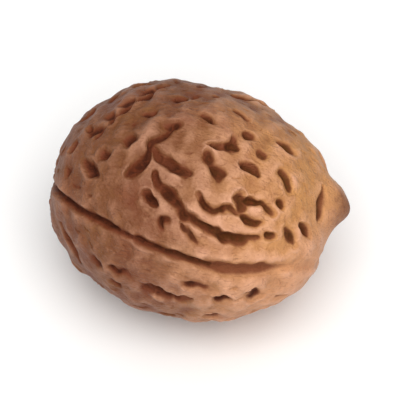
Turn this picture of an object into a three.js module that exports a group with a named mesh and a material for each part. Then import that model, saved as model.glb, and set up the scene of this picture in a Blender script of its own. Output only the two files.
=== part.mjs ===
// A peach pit: the whole stony shell of one fruit, lying on its side on a small flat spot.
// Units are millimetres. X runs from the stem end to the tip, Z is up, and the front suture
// faces -Y and a little up. Places on the stone are given as on a globe: "along" is 0 degrees
// at the stem end and 180 at the tip, and "round" is 0 at the front suture, 90 at the upper
// cheek, 180 at the back suture and -90 at the lower cheek.
import * as THREE from 'three';
import { mergeVertices } from 'three/addons/utils/BufferGeometryUtils.js';

const { degToRad } = THREE.MathUtils;

// Driving dimensions of the plain body
const LENGTH = 26.0;
const SUTURE_WIDTH = 21.6;
const CHEEK_WIDTH = 20.2;
const STEM_REACH = 11.7;
const TIP_REACH = 12.6;
const STEM_FULLNESS = 0.05;
const TIP_FULLNESS = 0.12;
const ROLL = degToRad(22);
const FLAT_CUT = 0.28;

// The short beak that ends the stone, a little off the middle of its tip
const BEAK = { along: 170, round: 105, height: 1.9, reach: 3.7 };

// Usual cross-section of the sunk and raised lines
const FURROW_DEPTH_RATIO = 0.68;
const PIT_DEPTH_RATIO = 0.72;
const RIM_HEIGHT = 0.09;
const RIM_PLACE = 1.9;
const RIM_SPREAD = 0.6;
const FULL_RIM_DEPTH = 0.5;
const END_TAPER = 0.35;
const PATH_STEP = 0.5;

// Fineness of the mesh
const START_DETAIL = 8;
const LARGEST_ERROR = 0.07;
const SHORTEST_EDGE = 0.34;
const TEST_SHARES = [0.2, 0.35, 0.5, 0.65, 0.8];
const LEAST_GAIN = 0.01;
const LEAST_HEIGHT = 0.2;
const TURN_PASSES = 3;

const TO_TIP = new THREE.Vector3(1, 0, 0);
const TO_FRONT = new THREE.Vector3(0, -Math.cos(ROLL), Math.sin(ROLL));
const TO_CHEEK = new THREE.Vector3(0, Math.sin(ROLL), Math.cos(ROLL));
const MIDDLE_X = STEM_REACH - LENGTH / 2;

// The front suture: a deep narrow line on the stem half, wide and shallow toward the tip
const FRONT_SUTURE = [
  { width: 0.8, depth: 0.62, path: [[4, 25], [14, 23], [24, 20], [33, 18], [40, 16]] },
  { width: 0.8, depth: 0.62, path: [[40, 16], [50, 14], [60, 12.5], [70, 10.5]] },
  { width: 0.6, depth: 0.3, path: [[70, 10.5], [80, 9]] },
  { width: 0.9, depth: 0.66, path: [[80, 9], [86, 7], [92, 5.5], [100, 3.5], [110, 0]] },
  { width: 1.6, depth: 0.45, path: [[108, 0.6], [117, -2], [124, -3], [132, -3]] },
  { width: 1.4, depth: 0.34, path: [[130, -3], [140, -3.5], [148, -7]] },
  { width: 1.0, depth: 0.2, path: [[146, -6], [155, -14], [161, -30], [166, -55]] },
];

// Furrows of the side that the front suture faces
const FURROWS = [
  { width: 0.9, path: [[50, 62], [53, 70], [57, 76], [62, 82], [68, 89], [72, 98], [76, 106]] },
  { width: 1.0, path: [[85, 68], [82, 62], [79, 56], [77, 49.5], [75, 44.5], [72, 40.5]] },
  { width: 1.1, path: [[79.5, 56], [82, 53], [84, 50.5], [89, 47.5], [95, 45.5]] },
  { width: 1.0, path: [[83, 42], [85, 37.5], [90, 33.5], [94, 29.5], [98, 25.5], [103, 22.5]] },
  { width: 0.95, path: [[102, 23], [110, 19.5], [115, 16.8], [121, 16], [127, 17]] },
  { width: 0.9, path: [[101, 61.5], [106, 63], [110, 65.5], [109.5, 71]] },
  { width: 0.8, path: [[109, 65], [113, 65]] },
  { width: 0.9, path: [[101.8, 35.4], [104.5, 32.5], [110, 30.7], [114, 31.5], [118, 31]] },
  { width: 1.0, path: [[117.5, 41], [118.5, 32]] },
  { width: 0.8, path: [[118.5, 32], [122, 28.5], [126, 27], [129, 26.5]] },
  { width: 0.9, path: [[118, 38], [123, 38], [128, 39], [131, 36], [133, 33]] },
  { width: 1.1, path: [[102, 57], [104, 53], [107, 49], [108, 45]] },
  { width: 1.0, path: [[115.5, 58.5], [119, 56.5], [123, 54.5]] },
  { width: 0.9, path: [[134, 61], [137, 57.5], [141, 54.5]] },
  { width: 0.9, path: [[127, 82.5], [131, 82.5], [134, 84]] },
  { width: 0.8, depth: 0.3, path: [[107, 88.5], [113, 87]] },
  { width: 0.9, path: [[95, 78.5], [98, 76.5], [101, 75.5]] },
  { width: 1.0, path: [[47, 45], [51, 41], [54, 38]] },
  { width: 1.0, path: [[79, 32.5], [82, 30.5], [85, 28]] },
  { width: 0.7, depth: 0.3, path: [[97, 22], [100, 18], [104, 13.5]] },
  { width: 0.9, path: [[143, 24.5], [145, 19], [146, 14]] },
  { width: 0.9, path: [[150, 28], [153, 25], [157, 20]] },
  { width: 1.0, depth: 0.35, path: [[157, 78], [159.5, 62], [161, 48], [161, 36]] },
  { width: 0.7, depth: 0.3, path: [[72, -12], [77, -13.5]] },
  { width: 1.1, path: [[84, -18], [90, -21], [96, -24], [103, -24]] },
  { width: 0.7, path: [[101, -13], [107, -13]] },
  { width: 0.9, path: [[114, -22], [118, -22.5]] },
  { width: 0.7, depth: 0.3, path: [[118, -23], [126, -24]] },
  { width: 0.8, path: [[126, -18.5], [131, -19]] },
  { width: 0.7, depth: 0.3, path: [[131, -20], [138, -25]] },
  { width: 0.9, path: [[35, -8], [42, -20], [50, -30]] },
];

// Small pits of the same side: a pit is as long as its path and its width together
const PITS = [
  { width: 0.75, path: [[72, 75], [74, 75]] },
  { width: 0.8, path: [[68, 57], [68, 58.5]] },
  { width: 0.9, path: [[43.5, 71.5], [44, 71]] },
  { width: 0.9, path: [[35.5, 58.5], [35.5, 60]] },
  { width: 0.7, path: [[26, 61], [26.5, 61.5]] },
  { width: 1.0, path: [[58, 48.5], [58, 49.5]] },
  { width: 0.8, depth: 0.25, path: [[36, 37], [36, 39]] },
  { width: 0.9, path: [[115.5, 75], [115.5, 76]] },
  { width: 0.7, depth: 0.3, path: [[123.5, 67], [123.5, 68]] },
  { width: 0.9, path: [[136, 40.5], [136, 41.5]] },
  { width: 0.8, path: [[133, 19.5], [135.5, 19.5]] },
  { width: 0.85, path: [[90, 18], [90, 21]] },
  { width: 0.9, path: [[112, -42], [112, -40]] },
  { width: 0.8, depth: 0.25, path: [[83.5, 87], [84.5, 87]] },
  { width: 0.8, path: [[89.5, 93], [89.5, 95]] },
  { width: 0.8, path: [[97, 98.5], [97, 99.5]] },
];

// Raised lines: the two lips of the front suture, and the broad ridge above the long fork
const RIDGES = [
  { width: 1.5, height: 0.24, path: [[104, 8], [114, 6], [124, 5], [134, 5], [142, 4]] },
  { width: 1.3, height: 0.16, path: [[112, -9], [124, -11], [136, -12]] },
  { width: 2.6, height: 0.2, path: [[80, 70], [74, 62], [69, 54]] },
];

// Low swells and one hollow of the body itself
const SWELLS = [
  { along: 135, round: -30, height: 0.35, reach: 9 },
  { along: 158, round: -15, height: 0.35, reach: 6 },
  { along: 62, round: -50, height: -0.4, reach: 9 },
  { along: 108, round: 110, height: -0.3, reach: 8 },
];

// The back suture: a keel with a furrow on each side of it and a fine line down its middle
const BACK_SUTURE = { from: 20, to: 164, step: 8, keelWidth: 3.2, keelHeight: 0.4, furrowOffset: 1.5 };

// The stem end: an oval scar with grooves that spread from it
const STEM_SCAR = { width: 1.9, depth: 0.55, halfSpan: 2.6 };
const STEM_GROOVES = { count: 13, from: 11, shortTo: 19, longTo: 24, extra: 12, width: 0.8, jitter: 9 };

// The tip: short grooves that run up to the beak on the side turned away
const TIP_GROOVES = { count: 5, firstRound: 120, lastRound: 288, from: 146, extra: 9, to: 163, width: 0.85 };

// Furrows and pits of the side turned away, laid by a seeded rule
const SEED = 2718;
const SEED_FACTOR = 16807;
const SEED_LIMIT = 2147483647;
const GOLDEN_ANGLE = Math.PI * (3 - Math.sqrt(5));
const AWAY = {
  facingLimit: 0.2,
  poleLimit: 0.92,
  endSpread: degToRad(40),
  middleSpread: degToRad(150),
  bend: degToRad(24),
};
const AWAY_KINDS = [
  { spots: 70, lengths: [4.5, 11], widths: [0.85, 1.05], gap: 0.85, depthRatio: FURROW_DEPTH_RATIO, tapered: true },
  { spots: 160, lengths: [2, 4], widths: [0.85, 1.05], gap: 0.85, depthRatio: FURROW_DEPTH_RATIO, tapered: true },
  { spots: 400, lengths: [0.5, 1], widths: [0.75, 0.95], gap: 1.0, depthRatio: PIT_DEPTH_RATIO, tapered: false },
];
const FACING = { along: 98, round: 30.7 };

// Unevenness: slow waves in seeded directions
const WAVES = { count: 8, shortest: 4.5, longest: 9, height: 0.055 };

// Round the flat spot the surface is plain
const PLAIN_INNER = 2.9;
const PLAIN_OUTER = 4.2;

// One stream of seeded numbers from 0 to 1
let seedState = SEED;
function draw() {
  seedState = (seedState * SEED_FACTOR) % SEED_LIMIT;
  return seedState / SEED_LIMIT;
}

function between(low, high) {
  return low + (high - low) * draw();
}

// A unit direction whose parts point to the tip, to the upper cheek and to the front suture
function direction(along, round) {
  const a = degToRad(along);
  const r = degToRad(round);
  return new THREE.Vector3(-Math.cos(a), Math.sin(a) * Math.sin(r), Math.sin(a) * Math.cos(r));
}

function place(x, cheek, front) {
  return new THREE.Vector3()
    .addScaledVector(TO_TIP, x)
    .addScaledVector(TO_CHEEK, cheek)
    .addScaledVector(TO_FRONT, front);
}

// The plain body: a long egg, fuller toward both ends than an ellipsoid
function bodyPoint(toward) {
  const stemHalf = toward.x < 0;
  const reach = stemHalf ? STEM_REACH : TIP_REACH;
  const fuller = 1 + (stemHalf ? STEM_FULLNESS * toward.x ** 2 : TIP_FULLNESS * toward.x ** 4);
  return place(
    MIDDLE_X + reach * toward.x,
    (fuller * CHEEK_WIDTH * toward.y) / 2,
    (fuller * SUTURE_WIDTH * toward.z) / 2,
  );
}

function bodyNormal(toward) {
  const reach = toward.x < 0 ? STEM_REACH : TIP_REACH;
  return place(toward.x / reach, (2 * toward.y) / CHEEK_WIDTH, (2 * toward.z) / SUTURE_WIDTH).normalize();
}

// 1 at the middle, falling smoothly to 0 at the reach
function bell(distance, reach) {
  const left = Math.max(0, 1 - distance / reach);
  return left * left * (3 - 2 * left);
}

// A line on the body: its points, the share of its full size at each, and a ball that holds it
function layLine(directions, width, height, tapered) {
  const curve = new THREE.CatmullRomCurve3(directions);
  const length = (curve.getLength() * SUTURE_WIDTH) / 2;
  const steps = Math.max(1, Math.ceil(length / PATH_STEP));
  const points = curve.getPoints(steps).map((p) => bodyPoint(p.normalize()));
  const sizes = points.map((_, i) => (tapered ? 1 - END_TAPER * Math.abs((2 * i) / steps - 1) ** 3 : 1));
  const ball = new THREE.Box3().setFromPoints(points).getBoundingSphere(new THREE.Sphere());
  return { points, sizes, half: width / 2, height, ball };
}

function layPath(item, height, tapered = true) {
  return layLine(item.path.map(([along, round]) => direction(along, round)), item.width, height, tapered);
}

// How far a point is from a line, and the line's share of full size at the nearest place
function nearest(line, point) {
  let best = { distance: Infinity, size: 1 };
  const segment = new THREE.Line3();
  const foot = new THREE.Vector3();
  for (let i = 0; i + 1 < line.points.length; i += 1) {
    segment.set(line.points[i], line.points[i + 1]);
    const share = segment.closestPointToPointParameter(point, true);
    segment.at(share, foot);
    const distance = foot.distanceTo(point);
    if (distance < best.distance) {
      best = { distance, size: line.sizes[i] + share * (line.sizes[i + 1] - line.sizes[i]) };
    }
  }
  return best;
}

// How far a set of lines is from a point, for the rule that keeps new ones clear of the old
function clearance(lines, point) {
  return Math.min(...lines.map((line) => nearest(line, point).distance - line.half));
}

function makeWaves() {
  return Array.from({ length: WAVES.count }, () => {
    const along = between(0, 180);
    const round = between(0, 360);
    const length = between(WAVES.shortest, WAVES.longest);
    const phase = between(0, 2 * Math.PI);
    return { vector: direction(along, round).multiplyScalar((2 * Math.PI) / length), phase };
  });
}

function stemGrooves() {
  const facing = direction(FACING.along, FACING.round);
  return Array.from({ length: STEM_GROOVES.count }, (_, i) => {
    const round = (360 * i) / STEM_GROOVES.count + between(-STEM_GROOVES.jitter, STEM_GROOVES.jitter);
    const extra = draw() * STEM_GROOVES.extra;
    const seen = direction(90, round).dot(facing) > 0;
    const end = seen ? STEM_GROOVES.shortTo : STEM_GROOVES.longTo + extra;
    const path = [[STEM_GROOVES.from, round], [(STEM_GROOVES.from + end) / 2, round + 2], [end, round]];
    return { width: STEM_GROOVES.width, path };
  });
}

function tipGrooves() {
  const step = (TIP_GROOVES.lastRound - TIP_GROOVES.firstRound) / (TIP_GROOVES.count - 1);
  return Array.from({ length: TIP_GROOVES.count }, (_, i) => {
    const round = TIP_GROOVES.firstRound + step * i;
    const start = TIP_GROOVES.from + draw() * TIP_GROOVES.extra;
    const swing = between(-8, 8);
    const middle = (start + TIP_GROOVES.to) / 2;
    const path = [[start, round + swing], [middle, round], [TIP_GROOVES.to, round + swing / 2]];
    return { width: TIP_GROOVES.width, path };
  });
}

// The path beside the back suture, a fixed number of millimetres from its middle
function besideBackSuture(offset) {
  const path = [];
  for (let along = BACK_SUTURE.from; along <= BACK_SUTURE.to; along += BACK_SUTURE.step) {
    const radius = (SUTURE_WIDTH / 2) * Math.sin(degToRad(along));
    path.push([along, 180 + THREE.MathUtils.radToDeg(offset / radius)]);
  }
  return path;
}

function backSutureFurrows() {
  const { furrowOffset } = BACK_SUTURE;
  return [
    { width: 0.9, path: besideBackSuture(furrowOffset) },
    { width: 0.9, path: besideBackSuture(-furrowOffset) },
    { width: 0.55, depth: 0.25, path: besideBackSuture(0) },
  ];
}

// A path that starts at one direction and wanders over the body until something is too near
function wander(start, kind, lines) {
  const facing = direction(FACING.along, FACING.round);
  const middle = 1 - Math.abs(start.x);
  const turn = between(-0.5, 0.5) * (AWAY.endSpread + (AWAY.middleSpread - AWAY.endSpread) * middle);
  const length = between(...kind.lengths);
  const bend = between(-AWAY.bend, AWAY.bend) * PATH_STEP;
  const width = between(...kind.widths);
  const tooFar = (at) => at.dot(facing) > AWAY.facingLimit || Math.abs(at.x) > AWAY.poleLimit;
  const here = start.clone();
  const heading = TO_TIP.clone().projectOnPlane(start).normalize().applyAxisAngle(start, turn);
  const path = [];
  for (let gone = 0; gone <= length; gone += PATH_STEP) {
    const point = bodyPoint(here);
    if (tooFar(here) || nearFlat(point) > 0 || clearance(lines, point) < kind.gap + width / 2) {
      break;
    }
    path.push(here.clone());
    here.addScaledVector(heading, PATH_STEP / (SUTURE_WIDTH / 2)).normalize();
    heading.projectOnPlane(here).normalize().applyAxisAngle(here, bend);
  }
  const longEnough = path.length > 1 && path.length * PATH_STEP >= kind.lengths[0];
  return longEnough ? layLine(path, width, width * kind.depthRatio, kind.tapered) : null;
}

// Evenly spread starts over the whole globe, of which only the side turned away is used
function awayLines(handLaid) {
  const laid = [];
  for (const kind of AWAY_KINDS) {
    for (let i = 0; i < kind.spots; i += 1) {
      const x = 1 - (2 * i + 1) / kind.spots;
      const ring = Math.sqrt(1 - x * x);
      const angle = i * GOLDEN_ANGLE;
      const start = new THREE.Vector3(x, ring * Math.sin(angle), ring * Math.cos(angle));
      const line = wander(start, kind, [...handLaid, ...laid]);
      if (line) {
        laid.push(line);
      }
    }
  }
  return laid;
}

// The lowest place of the plain body, where the flat spot is
const HALF_HEIGHT = Math.hypot(SUTURE_WIDTH * Math.sin(ROLL), CHEEK_WIDTH * Math.cos(ROLL)) / 2;
const FLAT_SIDEWAYS = ((SUTURE_WIDTH ** 2 - CHEEK_WIDTH ** 2) * Math.sin(ROLL) * Math.cos(ROLL)) / (4 * HALF_HEIGHT);
const FLAT_PLACE = new THREE.Vector3(MIDDLE_X, FLAT_SIDEWAYS, -HALF_HEIGHT);
const FLOOR_LEVEL = FLAT_CUT - HALF_HEIGHT;

// 1 at the flat spot, 0 away from it
function nearFlat(point) {
  return 1 - THREE.MathUtils.smoothstep(point.distanceTo(FLAT_PLACE), PLAIN_INNER, PLAIN_OUTER);
}

const depthOf = (item, ratio) => item.depth ?? item.width * ratio;
const waves = makeWaves();
const handLaid = [
  ...FRONT_SUTURE.map((item) => layPath(item, item.depth, false)),
  ...FURROWS.map((item) => layPath(item, depthOf(item, FURROW_DEPTH_RATIO))),
  ...PITS.map((item) => layPath(item, depthOf(item, PIT_DEPTH_RATIO), false)),
  ...stemGrooves().map((item) => layPath(item, depthOf(item, FURROW_DEPTH_RATIO))),
  ...tipGrooves().map((item) => layPath(item, depthOf(item, FURROW_DEPTH_RATIO))),
  ...backSutureFurrows().map((item) => layPath(item, depthOf(item, FURROW_DEPTH_RATIO))),
];
const scar = layPath(
  { width: STEM_SCAR.width, path: [[STEM_SCAR.halfSpan, 0], [0, 0], [STEM_SCAR.halfSpan, 180]] },
  STEM_SCAR.depth,
  false,
);
const sunkLines = [...handLaid, scar, ...awayLines(handLaid)];
const raisedLines = [
  ...RIDGES.map((item) => layPath(item, item.height)),
  layPath({ width: BACK_SUTURE.keelWidth, path: besideBackSuture(0) }, BACK_SUTURE.keelHeight),
];

// Cut, rim or rise that a line gives at a point
function lineShare(line, point) {
  const farthest = line.ball.radius + line.half * 4;
  if (line.ball.center.distanceTo(point) > farthest) {
    return { depth: 0, rim: 0 };
  }
  const { distance, size } = nearest(line, point);
  const t = distance / (line.half * size);
  const rim = Math.exp(-(((t - RIM_PLACE) / RIM_SPREAD) ** 2));
  return { depth: (line.height * size) / (1 + t ** 4), rim: rim * Math.min(1, line.height / FULL_RIM_DEPTH) };
}

// Height of the real surface over the plain body
function relief(point) {
  let depth = 0;
  let rim = 0;
  for (const line of sunkLines) {
    const share = lineShare(line, point);
    depth = Math.max(depth, share.depth);
    rim = Math.max(rim, share.rim);
  }
  const rise = raisedLines.reduce((sum, line) => sum + lineShare(line, point).depth, 0);
  const wave = waves.reduce((sum, { vector, phase }) => sum + Math.sin(vector.dot(point) + phase), 0);
  const lines = rise + RIM_HEIGHT * rim * Math.exp(-depth / RIM_HEIGHT) - depth;
  return (lines + WAVES.height * wave) * (1 - nearFlat(point));
}

const beakRoot = bodyPoint(direction(BEAK.along, BEAK.round));
const swells = SWELLS.map((item) => ({ ...item, centre: bodyPoint(direction(item.along, item.round)) }));

// The finished surface in one direction
function surfacePoint(toward) {
  const point = bodyPoint(toward);
  const swellAt = (item) => item.height * bell(point.distanceTo(item.centre), item.reach);
  const swell = swells.reduce((sum, item) => sum + swellAt(item), 0);
  const beak = BEAK.height * bell(point.distanceTo(beakRoot), BEAK.reach);
  const height = swell * (1 - nearFlat(point)) + relief(point);
  point.addScaledVector(bodyNormal(toward), height).addScaledVector(TO_TIP, beak);
  point.z = Math.max(point.z, FLOOR_LEVEL);
  return point;
}

// An even globe of triangles to start from
function startGlobe() {
  const globe = new THREE.IcosahedronGeometry(1, START_DETAIL);
  globe.deleteAttribute('normal');
  globe.deleteAttribute('uv');
  const merged = mergeVertices(globe);
  const spots = merged.getAttribute('position');
  const spotAt = (_, i) => new THREE.Vector3().fromBufferAttribute(spots, i);
  const directions = Array.from({ length: spots.count }, spotAt);
  const triangles = [];
  for (let i = 0; i < merged.index.count; i += 3) {
    triangles.push([0, 1, 2].map((k) => merged.index.getX(i + k)));
  }
  return { directions, points: directions.map(surfacePoint), triangles, errors: new Map() };
}

const edgeKey = (a, b) => (a < b ? `${a} ${b}` : `${b} ${a}`);
const edgesOf = ([a, b, c]) => [[a, b], [b, c], [c, a]];

// How far the surface leaves the straight edge between two corners
function edgeError(mesh, a, b) {
  const key = edgeKey(a, b);
  if (!mesh.errors.has(key)) {
    const edge = new THREE.Line3(mesh.points[a], mesh.points[b]);
    const foot = new THREE.Vector3();
    const gaps = TEST_SHARES.map((share) => {
      const point = surfacePoint(mesh.directions[a].clone().lerp(mesh.directions[b], share).normalize());
      return edge.closestPointToPoint(point, true, foot).distanceTo(point);
    });
    mesh.errors.set(key, Math.max(...gaps));
  }
  return mesh.errors.get(key);
}

function isCoarse(mesh, a, b) {
  return mesh.points[a].distanceTo(mesh.points[b]) > 2 * SHORTEST_EDGE && edgeError(mesh, a, b) > LARGEST_ERROR;
}

// The least height of a triangle, or less than 0 where it would face inwards
function leastHeight(mesh, [a, b, c]) {
  const [p, q, r] = [mesh.points[a], mesh.points[b], mesh.points[c]];
  const normal = q.clone().sub(p).cross(r.clone().sub(p));
  const longest = Math.max(p.distanceTo(q), q.distanceTo(r), r.distanceTo(p));
  const middle = mesh.directions[a].clone().add(mesh.directions[b]).add(mesh.directions[c]);
  const out = bodyNormal(middle.normalize());
  return (normal.length() / longest) * (normal.dot(out) > 0.2 * normal.length() ? 1 : -1);
}

// Turn each edge to the other diagonal of its two triangles where that lies closer to the surface
function turnEdges(mesh) {
  const owners = new Map();
  const claim = (index) => edgesOf(mesh.triangles[index]).forEach(([a, b]) => owners.set(`${a} ${b}`, index));
  mesh.triangles.forEach((_, index) => claim(index));
  let turned = 0;
  for (const [a, b] of mesh.triangles.flatMap(edgesOf)) {
    const [one, two] = [owners.get(`${a} ${b}`), owners.get(`${b} ${a}`)];
    if (a > b || one === undefined || two === undefined) {
      continue;
    }
    const c = mesh.triangles[one].find((corner) => corner !== a && corner !== b);
    const d = mesh.triangles[two].find((corner) => corner !== a && corner !== b);
    const gain = edgeError(mesh, a, b) - edgeError(mesh, c, d);
    if (gain < LEAST_GAIN || owners.has(`${c} ${d}`)) {
      continue;
    }
    const next = [[a, d, c], [d, b, c]];
    if (Math.min(...next.map((triangle) => leastHeight(mesh, triangle))) < LEAST_HEIGHT) {
      continue;
    }
    owners.delete(`${a} ${b}`);
    owners.delete(`${b} ${a}`);
    [mesh.triangles[one], mesh.triangles[two]] = next;
    claim(one);
    claim(two);
    turned += 1;
  }
  return turned;
}

// The longest edge of a triangle; a tie goes to the same edge from both its sides
function longestEdge(mesh, triangle) {
  const length = ([a, b]) => mesh.points[a].distanceTo(mesh.points[b]);
  const order = (p, q) => length(q) - length(p) || edgeKey(...p).localeCompare(edgeKey(...q));
  return edgeKey(...edgesOf(triangle).sort(order)[0]);
}

// The edges to halve: the coarse ones, and the longest edge of each triangle that loses one
function edgesToHalve(mesh) {
  const coarse = mesh.triangles.flatMap(edgesOf).filter(([a, b]) => isCoarse(mesh, a, b));
  const chosen = new Set(coarse.map(([a, b]) => edgeKey(a, b)));
  for (let before = -1; before !== chosen.size;) {
    before = chosen.size;
    for (const triangle of mesh.triangles) {
      if (edgesOf(triangle).some(([a, b]) => chosen.has(edgeKey(a, b)))) {
        chosen.add(longestEdge(mesh, triangle));
      }
    }
  }
  return chosen;
}

// Cut one triangle at the midpoints of its chosen edges
function splitTriangle(mesh, triangle, middles) {
  const has = ([a, b]) => middles.has(edgeKey(a, b));
  const cut = edgesOf(triangle).filter(has).length;
  if (cut === 0) {
    return [triangle];
  }
  const middle = (a, b) => middles.get(edgeKey(a, b));
  const [p, q, r] = triangle;
  if (cut === 3) {
    const [pq, qr, rp] = [middle(p, q), middle(q, r), middle(r, p)];
    return [[p, pq, rp], [pq, q, qr], [rp, qr, r], [pq, qr, rp]];
  }
  const longest = longestEdge(mesh, triangle);
  const first = edgesOf(triangle).findIndex(([a, b]) => edgeKey(a, b) === longest);
  const [a, b, c] = [...triangle.slice(first), ...triangle.slice(0, first)];
  const ab = middle(a, b);
  const halves = [[a, ab, c], [ab, b, c]];
  if (has([b, c])) {
    const bc = middle(b, c);
    return [halves[0], [ab, b, bc], [ab, bc, c]];
  }
  if (has([c, a])) {
    const ca = middle(c, a);
    return [[a, ab, ca], [ca, ab, c], halves[1]];
  }
  return halves;
}

function halveEdges(mesh, chosen) {
  const middles = new Map();
  for (const key of chosen) {
    const [a, b] = key.split(' ').map(Number);
    const toward = mesh.directions[a].clone().lerp(mesh.directions[b], 0.5).normalize();
    middles.set(key, mesh.directions.length);
    mesh.directions.push(toward);
    mesh.points.push(surfacePoint(toward));
  }
  mesh.triangles = mesh.triangles.flatMap((triangle) => splitTriangle(mesh, triangle, middles));
}

// The stone's mesh, halved where it is coarse until no edge is
function stoneGeometry() {
  const mesh = startGlobe();
  for (let chosen = edgesToHalve(mesh); chosen.size > 0; chosen = edgesToHalve(mesh)) {
    halveEdges(mesh, chosen);
    for (let pass = 0; pass < TURN_PASSES && turnEdges(mesh) > 0; pass += 1);
  }
  const box = new THREE.Box3().setFromPoints(mesh.points);
  const middle = box.getCenter(new THREE.Vector3()).setZ(FLOOR_LEVEL);
  const geometry = new THREE.BufferGeometry().setFromPoints(mesh.points.map((p) => p.clone().sub(middle)));
  geometry.setIndex(mesh.triangles.flat());
  geometry.computeVertexNormals();
  return geometry;
}

const woodyShell = new THREE.MeshStandardMaterial({ color: 0xa9724f, roughness: 0.62, metalness: 0 });
const stone = new THREE.Mesh(stoneGeometry(), woodyShell);
stone.name = 'peach_pit';

const part = new THREE.Group();
part.add(stone);

export default part;
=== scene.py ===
"""A peach pit lying on its side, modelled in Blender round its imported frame."""
import math

import bpy
import numpy as np
from bpy.props import FloatProperty, FloatVectorProperty, IntProperty, PointerProperty
from mathutils import Matrix, Vector


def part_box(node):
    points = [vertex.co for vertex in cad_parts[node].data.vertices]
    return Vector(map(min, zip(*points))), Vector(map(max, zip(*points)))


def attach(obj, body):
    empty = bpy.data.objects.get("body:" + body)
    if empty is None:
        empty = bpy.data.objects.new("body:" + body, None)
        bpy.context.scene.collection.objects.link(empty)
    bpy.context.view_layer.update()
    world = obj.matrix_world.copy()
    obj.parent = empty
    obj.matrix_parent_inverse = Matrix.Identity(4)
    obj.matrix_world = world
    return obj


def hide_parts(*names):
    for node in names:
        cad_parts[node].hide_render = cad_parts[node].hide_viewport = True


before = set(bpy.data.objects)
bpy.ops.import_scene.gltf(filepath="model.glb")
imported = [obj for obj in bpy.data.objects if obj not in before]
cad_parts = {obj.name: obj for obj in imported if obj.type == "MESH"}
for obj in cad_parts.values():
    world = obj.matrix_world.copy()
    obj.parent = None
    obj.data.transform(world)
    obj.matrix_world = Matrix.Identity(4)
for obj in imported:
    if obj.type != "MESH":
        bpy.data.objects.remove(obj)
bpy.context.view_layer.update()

bl_info = {
    "name": "Peach Pit",
    "version": (1, 0, 0),
    "blender": (4, 5, 0),
    "location": "3D View > Sidebar > Peach Pit",
    "description": "Models a furrowed peach pit and the small stage that it lies on",
    "category": "Add Mesh",
}

NODE = "peach_pit"
MM = 0.001

# The plain body in millimetres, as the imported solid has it
LENGTH = 26.0
SUTURE_WIDTH = 21.6
CHEEK_WIDTH = 20.2
STEM_REACH = 11.7
TIP_REACH = 12.6
STEM_FULLNESS = 0.05
TIP_FULLNESS = 0.12
ROLL = math.radians(22)
FLAT_CUT = 0.28
MIDDLE_X = STEM_REACH - LENGTH / 2
GLOBE_RADIUS = 10.0

# The beak: along and round in degrees, height and reach in millimetres
BEAK_PLACE = (170, 105)
BEAK_HEIGHT = 1.9
BEAK_REACH = 3.7

# Usual cross-section of the sunk and raised lines
FURROW_DEPTH_RATIO = 0.68
PIT_DEPTH_RATIO = 0.72
RIM_PLACE = 1.9
RIM_SPREAD = 0.6
FULL_RIM_DEPTH = 0.5
RIDGE_POWER = 4
END_TAPER = 0.35
# Depth at which a furrow's floor is fully darkened, as stain and painted shade
FULL_STAIN_AND_SHADE_DEPTH = 0.35

# Steps in which a line's length is measured, the distance between its places, and how many times
# its half width it is felt
MEASURE_STEPS = 200
PATH_STEP = 0.5
LINE_REACH = 5.0

# Lines are lists of places on the stone, each (along, round) in degrees: along is 0 at the stem
# end and 180 at the tip, round is 0 at the front suture and 90 at the upper cheek
FRONT_SUTURE = [
    dict(width=0.8, depth=0.62, path=[(4, 25), (14, 23), (24, 20), (33, 18), (40, 16)]),
    dict(width=0.8, depth=0.62, path=[(40, 16), (50, 14), (60, 12.5), (70, 10.5)]),
    dict(width=0.6, depth=0.3, path=[(70, 10.5), (80, 9)]),
    dict(width=0.9, depth=0.66, path=[(80, 9), (86, 7), (92, 5.5), (100, 3.5), (110, 0)]),
    dict(width=1.6, depth=0.45, furrow_stain_and_shade=0.5, path=[(108, 0.6), (117, -2), (124, -3), (132, -3)]),
    dict(width=1.4, depth=0.34, furrow_stain_and_shade=0.55, path=[(130, -3), (138, -3.3)]),
    dict(width=1.3, depth=0.28, furrow_stain_and_shade=0.55, path=[(136, -3.2), (143, -4.5)]),
    dict(width=1.2, depth=0.22, furrow_stain_and_shade=0.45, path=[(141, -4), (148, -7)]),
    dict(width=1.0, depth=0.2, furrow_stain_and_shade=0.1, path=[(146, -6), (155, -14), (161, -30), (166, -55)]),
]

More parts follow.
